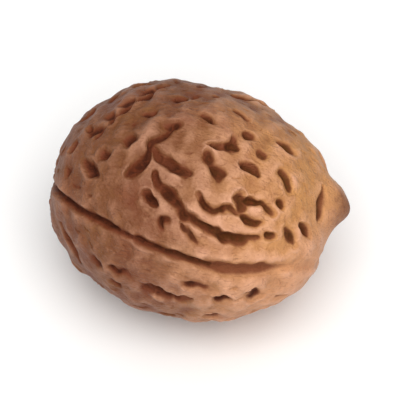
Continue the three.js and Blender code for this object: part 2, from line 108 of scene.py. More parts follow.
FURROWS = [
    dict(width=0.9, bead=2.1, path=[(50, 62), (53, 70), (57, 76), (62, 82), (68, 89), (72, 98), (76, 106)]),
    dict(width=1.0, path=[(85, 68), (82, 62), (79, 56), (77, 49.5), (75, 44.5), (72, 40.5)]),
    dict(width=1.1, furrow_stain_and_shade=0.75, path=[(79.5, 56), (82, 53), (84, 50.5), (89, 47.5), (95, 45.5)]),
    dict(width=1.0, path=[(83, 42), (85, 37.5), (90, 33.5), (94, 29.5), (98, 25.5), (103, 22.5)]),
    dict(width=0.95, path=[(102, 23), (110, 19.5), (115, 16.8), (121, 16), (127, 17)]),
    dict(width=0.9, path=[(101, 61.5), (106, 63), (110, 65.5), (109.5, 71)]),
    dict(width=0.8, path=[(109, 65), (113, 65)]),
    dict(width=0.9, path=[(101.8, 35.4), (104.5, 32.5), (110, 30.7), (114, 31.5), (118, 31)]),
    dict(width=1.0, path=[(117.5, 41), (118.5, 32)]),
    dict(width=0.8, path=[(118.5, 32), (122, 28.5), (126, 27), (129, 26.5)]),
    dict(width=0.9, path=[(118, 38), (123, 38), (128, 39), (131, 36), (133, 33)]),
    dict(width=1.1, path=[(102, 57), (104, 53), (107, 49), (108, 45)]),
    dict(width=1.0, path=[(115.5, 58.5), (119, 56.5), (123, 54.5)]),
    dict(width=0.9, path=[(134, 61), (137, 57.5), (141, 54.5)]),
    dict(width=0.9, path=[(127, 82.5), (131, 82.5), (134, 84)]),
    dict(width=0.8, depth=0.3, path=[(107, 88.5), (113, 87)]),
    dict(width=0.9, path=[(95, 78.5), (98, 76.5), (101, 75.5)]),
    dict(width=1.0, path=[(47, 45), (51, 41), (54, 38)]),
    dict(width=1.0, path=[(79, 32.5), (82, 30.5), (85, 28)]),
    dict(width=0.7, depth=0.3, path=[(97, 22), (100, 18), (104, 13.5)]),
    dict(width=0.9, path=[(143, 24.5), (145, 19), (146, 14)]),
    dict(width=0.9, path=[(150, 28), (153, 25), (157, 20)]),
    dict(width=1.0, depth=0.35, path=[(157, 78), (159.5, 62), (161, 48), (161, 36)]),
    dict(width=0.7, depth=0.3, path=[(72, -12), (77, -13.5)]),
    dict(width=1.1, path=[(84, -18), (90, -21), (96, -24), (103, -24)]),
    dict(width=0.7, path=[(101, -13), (107, -13)]),
    dict(width=0.9, path=[(114, -22), (118, -22.5)]),
    dict(width=0.7, depth=0.15, path=[(118, -23), (126, -24)]),
    dict(width=0.8, path=[(126, -18.5), (131, -19)]),
    dict(width=0.7, depth=0.15, path=[(131, -20), (138, -25)]),
    dict(width=0.9, path=[(35, -8), (42, -20), (50, -30)]),
]

PITS = [
    dict(width=0.75, path=[(72, 75), (74, 75)]),
    dict(width=0.8, path=[(68, 57), (68, 58.5)]),
    dict(width=0.9, path=[(43.5, 71.5), (44, 71)]),
    dict(width=0.9, path=[(35.5, 58.5), (35.5, 60)]),
    dict(width=0.7, path=[(26, 61), (26.5, 61.5)]),
    dict(width=1.0, path=[(58, 48.5), (58, 49.5)]),
    dict(width=0.8, depth=0.25, path=[(36, 37), (36, 39)]),
    dict(width=0.9, path=[(115.5, 75), (115.5, 76)]),
    dict(width=0.7, depth=0.3, path=[(123.5, 67), (123.5, 68)]),
    dict(width=0.9, path=[(136, 40.5), (136, 41.5)]),
    dict(width=0.8, path=[(133, 19.5), (135.5, 19.5)]),
    dict(width=0.85, path=[(90, 18), (90, 21)]),
    dict(width=0.9, path=[(112, -42), (112, -40)]),
    dict(width=0.8, depth=0.25, path=[(83.5, 87), (84.5, 87)]),
    dict(width=0.8, path=[(89.5, 93), (89.5, 95)]),
    dict(width=0.8, path=[(97, 98.5), (97, 99.5)]),
]

# The two lips of the front suture, and the broad ridge left of the branched mark
RIDGES = [
    dict(width=1.5, height=0.24, path=[(104, 8), (114, 6), (124, 5), (134, 5), (142, 4)]),
    dict(width=1.3, height=0.16, path=[(112, -9), (124, -11), (136, -12)]),
    dict(width=2.6, height=0.2, path=[(80, 70), (74, 62), (69, 54)]),
]

# Low swells and hollows of the body: place, height and reach. The last three, by the branched
# mark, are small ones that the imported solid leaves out
SWELLS = [
    ((135, -30), 0.35, 9),
    ((158, -15), 0.35, 6),
    ((62, -50), -0.4, 9),
    ((108, 110), -0.3, 8),
    ((86, 63), -0.22, 2.6),
    ((91, 52), -0.15, 2.0),
    ((74, 57), 0.1, 2.2),
]

BACK_SUTURE = dict(
    start=20, end=164, step=8, keel_width=3.2, keel_height=0.4,
    furrow_offset=1.5, furrow_width=0.9, groove_width=0.55, groove_depth=0.25,
)
STEM_SCAR = dict(width=1.9, depth=0.55, half_span=2.6)
STEM_GROOVES = dict(count=13, start=11, short_to=19, long_to=24, extra=12, width=0.8, jitter=9, bow=2)
TIP_GROOVES = dict(
    count=5, first_round=120, last_round=288, start=146, extra=9, end=163, width=0.85, swing=8
)

# Furrows and pits of the side turned away, laid by a seeded rule
GOLDEN_ANGLE = math.pi * (3 - math.sqrt(5))
FACING = (98, 30.7)
FACING_LIMIT = 0.2
POLE_LIMIT = 0.92
END_SPREAD = math.radians(40)
MIDDLE_SPREAD = math.radians(150)
BEND = math.radians(24)
AWAY_KINDS = [
    dict(spots=70, lengths=(4.5, 11), widths=(0.85, 1.05), gap=0.85, ratio=FURROW_DEPTH_RATIO, tapered=True),
    dict(spots=160, lengths=(2, 4), widths=(0.85, 1.05), gap=0.85, ratio=FURROW_DEPTH_RATIO, tapered=True),
    dict(spots=400, lengths=(0.5, 1), widths=(0.75, 0.95), gap=1.0, ratio=PIT_DEPTH_RATIO, tapered=False),
]

# Slow waves of the surface, and the plain surface round the flat spot
WAVES = dict(count=8, shortest=4.5, longest=9)
PLAIN_INNER = 2.9
PLAIN_OUTER = 4.2
HALF_HEIGHT = math.hypot(SUTURE_WIDTH * math.sin(ROLL), CHEEK_WIDTH * math.cos(ROLL)) / 2
FLAT_SIDEWAYS = (SUTURE_WIDTH**2 - CHEEK_WIDTH**2) * math.sin(ROLL) * math.cos(ROLL) / (4 * HALF_HEIGHT)
FLAT_PLACE = np.array((MIDDLE_X, FLAT_SIDEWAYS, -HALF_HEIGHT))
FLOOR_LEVEL = FLAT_CUT - HALF_HEIGHT

# Divisions of the globe that the stone is shaped from, steps of height that the displacements are
# laid in, and how exactly the flat spot is cut, in metres
GLOBE_LEVELS = 7
DISPLACE_LEVELS = 1500
CUT_TOLERANCE = 1e-7

# Rounds of smoothing for the mean height near a point, and the height above it that counts as full
MEAN_ROUNDS = 150
FULL_PROMINENCE = 0.35

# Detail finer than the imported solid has: furrows of two thirds of the solid's width, with ragged
# edges and an uneven floor, one of them parted into a chain of pits, a back suture that runs out
# before the beak, patchy rims, low lumps, and small marks all over
FINE_SHARE = 0.67
WALL_POWER = 3.2
BEAD_LOSS = 0.55
RAGGED = dict(count=12, shortest=0.8, longest=2.6, reach=0.045)
UNEVEN = dict(count=8, shortest=1.2, longest=3.2, share=0.08)
RUN_OUT = dict(length=7.0, share=0.25)
PATCHY_RIM = dict(count=8, shortest=1.2, longest=4.0, usual=0.5, share=0.35, most=1.3)
LUMPS = dict(count=18, shortest=1.2, longest=3.2, height=0.02)
MARKS = dict(
    spots=900, lengths=(0.5, 2.2), widths=(0.26, 0.46), gap=0.42, ratio=0.45, tapered=True, everywhere=True
)

# Fine lines of the front: narrow bottoms along the wide suture, the long fork, the branched mark
# and three short furrows
FINE_LINES = [
    dict(width=1.0, depth=0.56, furrow_stain_and_shade=0.6, path=[(104, 2.2), (108, 0.6), (113, -1), (118, -2.4)]),
    dict(width=1.0, depth=0.5, furrow_stain_and_shade=0.4, path=[(116, -1.8), (121, -3.1), (126, -3.7), (131, -4)]),
    dict(width=1.0, depth=0.44, furrow_stain_and_shade=0.35, path=[(128, -3.9), (133, -4), (139, -4.4)]),
    dict(width=0.9, depth=0.36, furrow_stain_and_shade=0.25, path=[(136, -4.2), (142, -4.8), (148, -7)]),
    dict(width=0.85, depth=0.62, path=[(96, 26.8), (102, 23.2), (108, 20), (115, 16.7), (129, 17.8)]),
    dict(width=0.9, depth=0.4, path=[(99.5, 19), (101.5, 15.5), (104, 12.5)]),
    dict(width=0.9, depth=0.65, path=[(79.3, 57), (76.7, 50.2), (73.8, 44.5), (70.5, 39.5)]),
    dict(width=1.1, depth=0.65, path=[(88, 48.5), (92, 46.5), (96, 45.5)]),
    dict(width=1.1, depth=0.6, path=[(46, 45.5), (51, 41), (55.5, 37.5)]),
    dict(width=1.4, depth=0.55, path=[(142, 24.5), (144.5, 19), (147, 13)]),
]

# Fine pits of the front, each with its depth
FINE_PITS = [
    dict(width=1.2, depth=0.55, path=[(133, 59), (136, 57), (139.5, 54)]),
    dict(width=1.4, depth=0.5, path=[(131.5, 82.5), (134, 84)]),
    dict(width=1.3, depth=0.6, path=[(56.5, 49), (58, 49.5)]),
    dict(width=1.3, depth=0.6, path=[(67.5, 57.5), (68.5, 59)]),
    dict(width=1.3, depth=0.5, path=[(114.5, -22), (117, -22.5)]),
    dict(width=1.4, depth=0.6, path=[(128, -22.3), (130.5, -22.7)]),
    dict(width=1.2, depth=0.5, path=[(85, -20), (88, -21.5)]),
    dict(width=1.3, depth=0.5, path=[(91.5, -24.3), (94, -24.8)]),
    dict(width=1.1, depth=0.45, path=[(97.5, -24.8), (100, -23.5)]),
    dict(width=1.1, depth=0.4, path=[(103, -11.5), (107.5, -12.5)]),
    dict(width=1.1, depth=0.35, path=[(71, -12.5), (75, -13.5)]),
    dict(width=1.2, depth=0.45, path=[(110, -41), (112.5, -41.5)]),
    dict(width=1.2, depth=0.45, path=[(46.5, 67), (49, 67.5)]),
    dict(width=1.1, depth=0.4, path=[(53, 76), (55, 77)]),
    dict(width=1.2, depth=0.5, path=[(83.5, 68), (86, 68.3)]),
    dict(width=1.1, depth=0.4, path=[(60, 85), (63, 87)]),
    dict(width=1.1, depth=0.45, path=[(71.5, 75.2), (73.5, 74.2)]),
    dict(width=1.1, depth=0.4, path=[(67, 95), (69, 97)]),
    dict(width=1.1, depth=0.45, path=[(83, 89), (84.5, 89)]),
    dict(width=1.0, depth=0.25, path=[(138, -34), (142, -38)]),
    dict(width=1.0, depth=0.35, path=[(60, -14), (62, -14.5)]),
    dict(width=1.0, depth=0.3, path=[(70, -23), (72, -23.5)]),
    dict(width=1.0, depth=0.35, path=[(122, 68), (124, 67.5)]),
]

# Narrow raised lines between the furrows of the front
FINE_RIDGES = [
    dict(width=0.8, height=0.13, path=[(80, 73), (76, 64), (73, 56), (69, 47)]),
    dict(width=0.8, height=0.12, path=[(80, 38.5), (84, 34), (88, 30), (93, 24.5)]),
    dict(width=0.8, height=0.12, path=[(99.5, 30), (105.5, 25.5), (113, 23), (121, 22.5), (128, 22.5)]),
    dict(width=0.8, height=0.1, path=[(99, 40), (103, 37.5), (108, 36.5), (113, 40)]),
    dict(width=0.9, height=0.12, path=[(121, 34), (125.5, 33)]),
    dict(width=1.0, height=0.1, path=[(95, 60), (97, 54), (99, 47), (98, 42)]),
    dict(width=0.9, height=0.1, path=[(84, 48), (89, 44), (94, 40)]),
]

# Patterns of the shell: waves a millimetre, stretch along the stone, the veins' width as a share
# of their noise, and how far the grain stands out in metres
PATCH_SCALE = 0.22
MOTTLE_SCALE = 0.8
FLECK_SCALE = 2.4
GRAIN_SCALE = 5.5
GRAIN_STRETCH = (0.5, 1, 1)
VEIN_SCALE = 1.1
VEIN_WIDTH = 0.035
VEIN_STRETCH = (0.4, 1, 1)
BUMP_HEIGHT = 0.42 * MM
SHELL_SPECULAR = 0.25

# Where the shell turns paler toward the tip, partly its own colour and partly painted light, yellower toward
# the top and dark at the beak's end, in millimetres along the stone, up it and along it
TIP_FADE = (-5.0, 11.5)
GOLD_FADE = (10.0, 16.0)
BEAK_FADE = (11.2, 13.1)

# Soft lights round the stone: angles in degrees, distance and size in metres, power in watts
WARM_WHITE = (1.0, 0.98, 0.95)
PLAIN_WHITE = (1.0, 1.0, 1.0)
LIGHTS = [
    dict(name="key_light", azimuth=18, elevation=58, distance=0.7, size=0.65, power=5.0, colour=WARM_WHITE),
    dict(name="top_light", azimuth=0, elevation=88, distance=0.8, size=1.0, power=3.0, colour=PLAIN_WHITE),
]
ROOM_COLOUR = (0.95, 0.97, 1.0)
ROOM_STRENGTH = 0.26
FLOOR_ROUGHNESS = 0.6

# The camera's sensor in millimetres, and the nearest that it sees in metres
SENSOR_WIDTH = 36.0
NEAREST_SEEN = 0.01

TO_TIP = np.array((1.0, 0.0, 0.0))
TO_CHEEK = np.array((0.0, math.sin(ROLL), math.cos(ROLL)))
TO_FRONT = np.array((0.0, -math.cos(ROLL), math.sin(ROLL)))
PIT_AXES = np.array((TO_TIP, TO_CHEEK, TO_FRONT))


class Dice:
    """One stream of seeded numbers from 0 to 1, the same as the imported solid's."""

    SEED = 2718
    FACTOR = 16807
    LIMIT = 2147483647

    def __init__(self):
        self.state = self.SEED

    def draw(self):
        self.state = self.state * self.FACTOR % self.LIMIT
        return self.state / self.LIMIT

    def between(self, low, high):
        return low + (high - low) * self.draw()


def direction(along, round_):
    """Unit direction whose parts point to the tip, the upper cheek and the front suture."""
    a, r = math.radians(along), math.radians(round_)
    return np.array((-math.cos(a), math.sin(a) * math.sin(r), math.sin(a) * math.cos(r)))


def unit(vectors):
    return vectors / np.linalg.norm(vectors, axis=-1, keepdims=True)


def fuller(along_axis):
    """How much wider the body is there than an ellipsoid."""
    return 1 + np.where(along_axis < 0, STEM_FULLNESS * along_axis**2, TIP_FULLNESS * along_axis**4)


def body_points(directions):
    """Points of the plain body, in millimetres, for unit directions."""
    axis = directions[..., 0]
    reach = np.where(axis < 0, STEM_REACH, TIP_REACH)
    wide = fuller(axis) / 2
    parts = np.stack(
        (
            MIDDLE_X + reach * axis,
            wide * CHEEK_WIDTH * directions[..., 1],
            wide * SUTURE_WIDTH * directions[..., 2],
        ),
        axis=-1,
    )
    return parts @ PIT_AXES


def eased(share):
    """A share from 0 to 1 that starts and ends gently."""
    return share * share * (3 - 2 * share)


def bell(distance, reach):
    """1 at the middle, falling smoothly to 0 at the reach."""
    return eased(np.maximum(0, 1 - distance / reach))


def near_flat(points):
    """1 at the flat spot, 0 away from it."""
    distance = np.linalg.norm(points - FLAT_PLACE, axis=-1)
    return 1 - eased(np.clip((distance - PLAIN_INNER) / (PLAIN_OUTER - PLAIN_INNER), 0, 1))


def curve_points(corners, steps):
    """Points on the smooth centripetal curve through the corners, even in its parameter."""
    ends = [2 * corners[0] - corners[1], *corners, 2 * corners[-1] - corners[-2]]
    points = []
    for place in np.linspace(0, len(corners) - 1, steps + 1):
        span = min(int(place), len(corners) - 2)
        t = place - span
        a, b, c, d = ends[span:span + 4]
        ab, bc, cd = (math.sqrt(np.linalg.norm(q - p)) for p, q in ((a, b), (b, c), (c, d)))
        leave = ((b - a) / ab - (c - a) / (ab + bc) + (c - b) / bc) * bc
        arrive = ((c - b) / bc - (d - b) / (bc + cd) + (d - c) / cd) * bc
        cubic = 2 * b - 2 * c + leave + arrive
        square = 3 * c - 3 * b - 2 * leave - arrive
        points.append(b + t * (leave + t * (square + t * cubic)))
    return np.array(points)


class Line:
    """A sunk or raised line: points on the body and the share of its full size at each."""

    def __init__(self, corners, width, height, tapered):
        drawn = curve_points(corners, MEASURE_STEPS)
        length = np.linalg.norm(np.diff(drawn, axis=0), axis=1).sum() * SUTURE_WIDTH / 2
        steps = max(1, math.ceil(length / PATH_STEP))
        self.points = body_points(unit(curve_points(corners, steps)))
        places = np.abs(2 * np.arange(steps + 1) / steps - 1)
        self.sizes = 1 - (END_TAPER if tapered else 0) * places**3
        self.half = width / 2
        self.height = height
        # How dark the line's floor is painted, as stain and as painted shade that deepens with the depth
        self.furrow_stain_and_shade = min(1, height / FULL_STAIN_AND_SHADE_DEPTH)
        self.smooth = False

    def nearest(self, points):
        """Each point's distance to the line, and the line's size at the nearest place."""
        distance = np.full(len(points), np.inf)
        size = np.ones(len(points))
        for i in range(len(self.points) - 1):
            start, way = self.points[i], self.points[i + 1] - self.points[i]
            share = np.clip((points - start) @ way / (way @ way), 0, 1)
            gone = np.linalg.norm(points - start - share[:, None] * way, axis=1)
            closer = gone < distance
            distance[closer] = gone[closer]
            size[closer] = (self.sizes[i] + share * (self.sizes[i + 1] - self.sizes[i]))[closer]
        return distance, size

    def near(self, points):
        """Which points are near enough to feel the line."""
        middle = (self.points.min(axis=0) + self.points.max(axis=0)) / 2
        radius = np.linalg.norm(self.points - middle, axis=1).max()
        reach = radius + self.half * LINE_REACH
        return np.flatnonzero(np.linalg.norm(points - middle, axis=1) < reach)


class Laid:
    """Lines laid so far, with their straight pieces side by side, to test how near a point is."""

    def __init__(self, lines):
        self.lines = []
        self.starts = np.empty((0, 3))
        self.ways = np.empty((0, 3))
        self.halves = np.empty(0)
        for line in lines:
            self.add(line)

    def add(self, line):
        self.lines.append(line)
        ways = np.diff(line.points, axis=0)
        self.starts = np.concatenate((self.starts, line.points[:-1]))
        self.ways = np.concatenate((self.ways, ways))
        self.halves = np.concatenate((self.halves, np.full(len(ways), line.half)))

    def clearance(self, point):
        gone = point - self.starts
        share = np.clip((gone * self.ways).sum(axis=1) / (self.ways**2).sum(axis=1), 0, 1)
        gaps = np.linalg.norm(gone - share[:, None] * self.ways, axis=1)
        return (gaps - self.halves).min()


def path_line(item, height, tapered=True):
    corners = [direction(*place) for place in item["path"]]
    return Line(corners, item["width"], height, tapered)


def sunk_line(item, ratio=FURROW_DEPTH_RATIO, tapered=True, smooth=False):
    line = path_line(item, item.get("depth", item["width"] * ratio), tapered)
    line.furrow_stain_and_shade *= item.get("furrow_stain_and_shade", 1.0)
    line.smooth = smooth
    if "bead" in item:
        places = np.arange(len(line.sizes)) * PATH_STEP / item["bead"]
        line.sizes *= 1 - BEAD_LOSS * (0.5 - 0.5 * np.cos(2 * math.pi * places))
    return line


def stem_grooves(dice):
    facing = direction(*FACING)
    items = []
    for i in range(STEM_GROOVES["count"]):
        jitter = dice.between(-STEM_GROOVES["jitter"], STEM_GROOVES["jitter"])
        round_ = 360 * i / STEM_GROOVES["count"] + jitter
        extra = dice.draw() * STEM_GROOVES["extra"]
        seen = direction(90, round_) @ facing > 0
        start = STEM_GROOVES["start"]
        end = STEM_GROOVES["short_to"] if seen else STEM_GROOVES["long_to"] + extra
        path = [(start, round_), ((start + end) / 2, round_ + STEM_GROOVES["bow"]), (end, round_)]
        items.append(dict(width=STEM_GROOVES["width"], path=path))
    return items


def tip_grooves(dice):
    first, last, end = (TIP_GROOVES[key] for key in ("first_round", "last_round", "end"))
    items = []
    for i in range(TIP_GROOVES["count"]):
        round_ = first + (last - first) / (TIP_GROOVES["count"] - 1) * i
        start = TIP_GROOVES["start"] + dice.draw() * TIP_GROOVES["extra"]
        swing = dice.between(-TIP_GROOVES["swing"], TIP_GROOVES["swing"])
        path = [(start, round_ + swing), ((start + end) / 2, round_), (end, round_ + swing / 2)]
        items.append(dict(width=TIP_GROOVES["width"], path=path))
    return items


def beside_back_suture(offset):
    path = []
    for along in range(BACK_SUTURE["start"], BACK_SUTURE["end"] + 1, BACK_SUTURE["step"]):
        radius = SUTURE_WIDTH / 2 * math.sin(math.radians(along))
        path.append((along, 180 + math.degrees(offset / radius)))
    return path


def run_out(line):
    """Lets a line of the back suture grow narrow and low toward its end before the beak."""
    left = np.arange(len(line.sizes))[::-1] * PATH_STEP / RUN_OUT["length"]
    line.sizes *= np.clip(left, RUN_OUT["share"], 1)
    return line


def turned(vector, axis, angle):
    return np.array(Matrix.Rotation(angle, 3, Vector(axis)) @ Vector(vector))


def flattened(vector, normal):
    return unit(vector - normal * (vector @ normal))


def out_of_bounds(here, kind):
    """Whether a line of this kind may not run here: on the side shown, at a pole or at the flat."""
    shown = here @ direction(*FACING) > FACING_LIMIT and not kind.get("everywhere")
    return shown or abs(here[0]) > POLE_LIMIT or near_flat(body_points(here)) > 0


def wander(start, kind, laid, dice):
    """A line that starts in one direction and wanders until something is too near."""
    spread = END_SPREAD + (MIDDLE_SPREAD - END_SPREAD) * (1 - abs(start[0]))
    turn = dice.between(-0.5, 0.5) * spread
    length = dice.between(*kind["lengths"])
    bend = dice.between(-BEND, BEND) * PATH_STEP
    width = dice.between(*kind["widths"])
    here = start
    heading = turned(flattened(TO_TIP, start), start, turn)
    path = []
    gone = 0
    while gone <= length:
        if out_of_bounds(here, kind) or laid.clearance(body_points(here)) < kind["gap"] + width / 2:
            break
        path.append(here)
        here = unit(here + heading * PATH_STEP / (SUTURE_WIDTH / 2))
        heading = turned(flattened(heading, here), here, bend)
        gone += PATH_STEP
    if len(path) < 2 or len(path) * PATH_STEP < kind["lengths"][0]:
        return None
    return Line(path, width, width * kind["ratio"], kind["tapered"])


def scatter(kind, laid, dice):
    """Adds lines of one kind from starts spread evenly over the globe, clear of all laid before."""
    for i in range(kind["spots"]):
        x = 1 - (2 * i + 1) / kind["spots"]
        ring = math.sqrt(1 - x * x)
        angle = i * GOLDEN_ANGLE
        start = np.array((x, ring * math.sin(angle), ring * math.cos(angle)))
        line = wander(start, kind, laid, dice)
        if line:
            laid.add(line)


def wave_vectors(kind, dice):
    """Directions, lengths and phases of a number of waves in seeded directions."""
    waves = []
    for _ in range(kind["count"]):
        along, round_ = dice.between(0, 180), dice.between(0, 360)
        length = dice.between(kind["shortest"], kind["longest"])
        phase = dice.between(0, 2 * math.pi)
        waves.append((direction(along, round_) * 2 * math.pi / length, phase))
    return waves


def wave_sum(waves, points):
    return sum(np.sin(points @ vector + phase) for vector, phase in waves)


def lines_laid_first(dice):
    """Every furrow and pit laid before those of the side turned away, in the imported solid's order."""
    side, width = BACK_SUTURE["furrow_offset"], BACK_SUTURE["furrow_width"]
    groove_width, groove_depth = BACK_SUTURE["groove_width"], BACK_SUTURE["groove_depth"]
    lines = [sunk_line(item, tapered=False, smooth=True) for item in FRONT_SUTURE]
    lines += [sunk_line(item) for item in FURROWS]
    lines += [sunk_line(item, PIT_DEPTH_RATIO, False) for item in PITS]
    lines += [sunk_line(item) for item in stem_grooves(dice)]
    lines += [sunk_line(item) for item in tip_grooves(dice)]
    for offset in (side, -side):
        lines.append(run_out(sunk_line(dict(width=width, path=beside_back_suture(offset)))))
    groove = dict(width=groove_width, depth=groove_depth, path=beside_back_suture(0))
    lines.append(run_out(sunk_line(groove)))
    return lines


def stem_scar():
    span = STEM_SCAR["half_span"]
    item = dict(width=STEM_SCAR["width"], depth=STEM_SCAR["depth"], path=[(span, 0), (0, 0), (span, 180)])
    return sunk_line(item, tapered=False)


class Relief:
    """Everything that stands out of the plain body or is sunk into it, in millimetres."""

    def __init__(self):
        dice = Dice()
        self.waves = wave_vectors(WAVES, dice)
        laid = Laid(lines_laid_first(dice))
        for kind in AWAY_KINDS:
            scatter(kind, laid, dice)
        laid.add(stem_scar())
        for item in FINE_LINES:
            laid.add(sunk_line(item, smooth=True))
        for item in FINE_PITS:
            laid.add(sunk_line(item, tapered=False))
        scatter(MARKS, laid, dice)
        self.stain_and_hollow_shade = laid.lines
        keel = dict(width=BACK_SUTURE["keel_width"], path=beside_back_suture(0))
        self.raised = [path_line(item, item["height"]) for item in RIDGES + FINE_RIDGES]
        self.raised.append(run_out(path_line(keel, BACK_SUTURE["keel_height"])))
        self.ragged = [wave_vectors(RAGGED, dice) for _ in range(3)]
        self.uneven = wave_vectors(UNEVEN, dice)
        self.patchy = wave_vectors(PATCHY_RIM, dice)
        self.lumps = wave_vectors(LUMPS, dice)

    def roughened(self, points):
        """Points pushed about a little, so that the furrows' outlines come out ragged."""
        shift = np.stack([wave_sum(waves, points) for waves in self.ragged], axis=1)
        return points + RAGGED["reach"] * shift

    def measure(self, points):
        """The furrows' depth, rims and dark floors, as stain and painted shade, and the ridges' rise, at
        each point.
        """
        depth, rim, furrow_stain_and_shade, rise = (np.zeros(len(points)) for _ in range(4))
        moved = self.roughened(points)
        floor = 1 + UNEVEN["share"] * wave_sum(self.uneven, points)
        for line in self.stain_and_hollow_shade:
            near = line.near(points)
            distance, size = line.nearest(points[near] if line.smooth else moved[near])
            t = distance / (line.half * size * FINE_SHARE)
            cut = size / (1 + t**WALL_POWER) * (1 if line.smooth else floor[near])
            edge = np.exp(-(((t - RIM_PLACE) / RIM_SPREAD) ** 2))
            depth[near] = np.maximum(depth[near], line.height * cut)
            rim[near] = np.maximum(rim[near], edge * min(1, line.height / FULL_RIM_DEPTH))
            furrow_stain_and_shade[near] = np.maximum(furrow_stain_and_shade[near], line.furrow_stain_and_shade * cut)
        for line in self.raised:
            near = line.near(points)
            distance, size = line.nearest(moved[near])
            t = distance / (line.half * size)
            rise[near] += line.height * size / (1 + t**RIDGE_POWER)
        patches = PATCHY_RIM["usual"] + PATCHY_RIM["share"] * wave_sum(self.patchy, points)
        return depth, rim * np.clip(patches, 0, PATCHY_RIM["most"]), furrow_stain_and_shade, rise


def deselect_all():
    for item in bpy.context.selected_objects:
        item.select_set(False)


def apply_modifier(piece, name, kind, **settings):
    """Adds a modifier with its settings and applies it."""
    modifier = piece.modifiers.new(name, kind)
    for key, value in settings.items():
        setattr(modifier, key, value)
    bpy.ops.object.modifier_apply(modifier=modifier.name)


def read_points(piece):
    flat = np.empty(3 * len(piece.data.vertices), dtype=np.float32)
    piece.data.vertices.foreach_get("co", flat)
    return flat.reshape(-1, 3).astype(float)


def write_points(piece, points):
    piece.data.vertices.foreach_set("co", points.astype(np.float32).ravel())
    piece.data.update()


def select_points(piece, chosen):
    """Leaves only the chosen vertices selected, ready for edit mode."""
    mesh = piece.data
    mesh.polygons.foreach_set("select", np.zeros(len(mesh.polygons), dtype=bool))
    mesh.edges.foreach_set("select", np.zeros(len(mesh.edges), dtype=bool))
    mesh.vertices.foreach_set("select", chosen)


def in_edit_mode(operator, **settings):
    """Runs one operator in edit mode on the selected vertices."""
    bpy.ops.object.mode_set(mode="EDIT")
    bpy.ops.mesh.select_mode(type="VERT")
    operator(**settings)
    bpy.ops.object.mode_set(mode="OBJECT")


def add_globe(name, radius, levels):
    """A cube, divided and rounded to an even globe of four-sided faces."""
    deselect_all()
    bpy.ops.mesh.primitive_cube_add(size=2 * radius, location=(0, 0, 0))
    globe = bpy.context.object
    globe.name = globe.data.name = name
    apply_modifier(globe, "Even faces", "SUBSURF", levels=levels, render_levels=levels)
    settings = dict(cast_type="SPHERE", factor=1.0, use_radius_as_size=False, size=radius, radius=0.0)
    apply_modifier(globe, "Round", "CAST", **settings)
    return globe


def shape_body(stone):
    """Stretches the globe to the plain body, rolls it to its resting side and puts it in place."""
    axis = read_points(stone)[:, 0] / (GLOBE_RADIUS * MM)
    for half, reach in ((axis < 0, STEM_REACH), (axis > 0, TIP_REACH)):
        select_points(stone, half)
        in_edit_mode(
            bpy.ops.transform.resize, value=(reach / GLOBE_RADIUS, 1, 1), center_override=(0, 0, 0)
        )
    everything = np.ones(len(axis), dtype=bool)
    select_points(stone, everything)
    widths = (1, SUTURE_WIDTH / 2 / GLOBE_RADIUS, CHEEK_WIDTH / 2 / GLOBE_RADIUS)
    in_edit_mode(bpy.ops.transform.resize, value=widths, center_override=(0, 0, 0))
    points = read_points(stone)
    points[:, 1:] *= fuller(axis)[:, None]
    write_points(stone, points)
    select_points(stone, everything)
    in_edit_mode(bpy.ops.transform.rotate, value=ROLL, orient_axis="X", center_override=(0, 0, 0))
    in_edit_mode(bpy.ops.transform.translate, value=(MIDDLE_X * MM, 0, 0))


def draw_out_beak(stone):
    """Pulls the tip out to a short beak with proportional editing."""
    root = body_points(direction(*BEAK_PLACE)) * MM
    distance = np.linalg.norm(read_points(stone) - root, axis=1)
    chosen = np.zeros(len(distance), dtype=bool)
    chosen[distance.argmin()] = True
    select_points(stone, chosen)
    in_edit_mode(
        bpy.ops.transform.translate,
        value=(BEAK_HEIGHT * MM, 0, 0),
        use_proportional_edit=True,
        proportional_edit_falloff="SMOOTH",
        proportional_size=BEAK_REACH * MM,
        use_proportional_connected=False,
    )


def displace(stone, name, heights):
    """Moves the surface out along its normals by the heights in millimetres, or in where negative."""
    strongest = float(np.abs(heights).max())
    levels = np.round(np.abs(heights) / strongest * DISPLACE_LEVELS).astype(int)
    for side, chosen in ((1, heights > 0), (-1, heights < 0)):
        group = stone.vertex_groups.new(name=name)
        for level in np.unique(levels[chosen]):
            block = np.flatnonzero(chosen & (levels == level))
            group.add(block.tolist(), level / DISPLACE_LEVELS, "REPLACE")
        strength = side * strongest * MM
        apply_modifier(stone, name, "DISPLACE", vertex_group=group.name, mid_level=0.0, strength=strength)
        stone.vertex_groups.clear()


def local_mean(stone, values):
    """The values smoothed over the surface, round by round with those of the vertices beside."""
    edges = stone.data.edges
    ends = np.empty(2 * len(edges), dtype=np.int32)
    edges.foreach_get("vertices", ends)
    one, two = ends.reshape(-1, 2).T
    count = len(values)
    beside = np.bincount(ends, minlength=count)
    for _ in range(MEAN_ROUNDS):
        total = np.bincount(one, values[two], count) + np.bincount(two, values[one], count)
        values = (values + total / beside) / 2
    return values


def store(stone, name, values):
    attribute = stone.data.attributes.new(name, "FLOAT", "POINT")
    attribute.data.foreach_set("value", values.astype(np.float32))


def cut_flat_spot(stone):
    """Cuts the underside off level at the flat spot and closes it."""
    select_points(stone, np.ones(len(stone.data.vertices), dtype=bool))
    in_edit_mode(
        bpy.ops.mesh.bisect,
        plane_co=(0, 0, FLOOR_LEVEL * MM),
        plane_no=(0, 0, 1),
        use_fill=True,
        clear_inner=True,
        threshold=CUT_TOLERANCE,
    )


def settle_in_frame(stone):
    """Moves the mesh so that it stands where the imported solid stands."""
    low, high = (np.array(corner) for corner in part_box(NODE))
    points = read_points(stone)
    middle = (points.min(axis=0) + points.max(axis=0)) / 2
    move = (low + high) / 2 - middle
    move[2] = low[2] - FLOOR_LEVEL * MM
    select_points(stone, np.ones(len(points), dtype=bool))
    in_edit_mode(bpy.ops.transform.translate, value=tuple(move))


